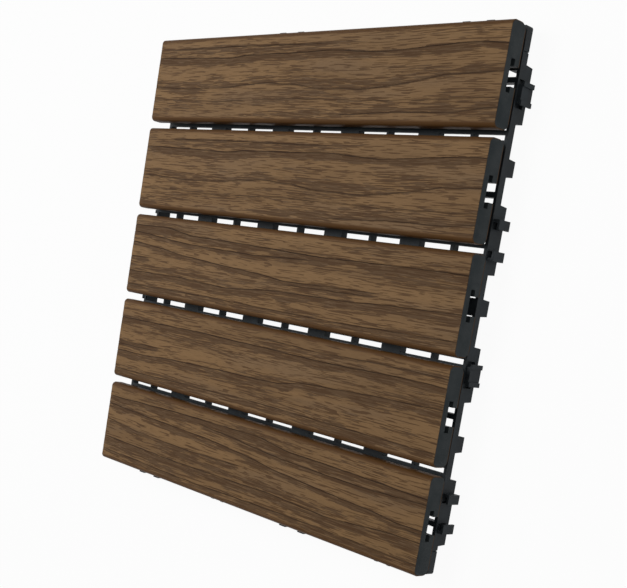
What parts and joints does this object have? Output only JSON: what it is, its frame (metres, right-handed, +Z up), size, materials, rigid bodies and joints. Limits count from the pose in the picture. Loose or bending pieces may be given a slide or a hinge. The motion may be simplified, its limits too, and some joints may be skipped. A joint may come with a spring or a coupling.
{
  "type": "interlocking deck tile",
  "caption": "Square deck tile: parallel wood-look composite slats on a moulded plastic grid that stands on feet and clips to its neighbours by tabs and hooks.",
  "frame": {"origin": "middle of the tile's footprint, on the ground", "axes": "+X along the slats, +Y across them, +Z up out of the walking surface"},
  "size_m": [0.3046, 0.3046, 0.0254],
  "materials": {
    "slat": "embossed wood-plastic composite, brown cap on a charcoal core, satin",
    "base": "moulded black plastic, fine matt grain",
    "screw": "plain stainless steel"
  },
  "bodies": {
    "root": {"base_grid": "base", "slat_1": "slat", "slat_2": "slat", "slat_3": "slat", "slat_4": "slat", "slat_5": "slat", "fixing_screws": "screw"}
  },
  "joints": []
}
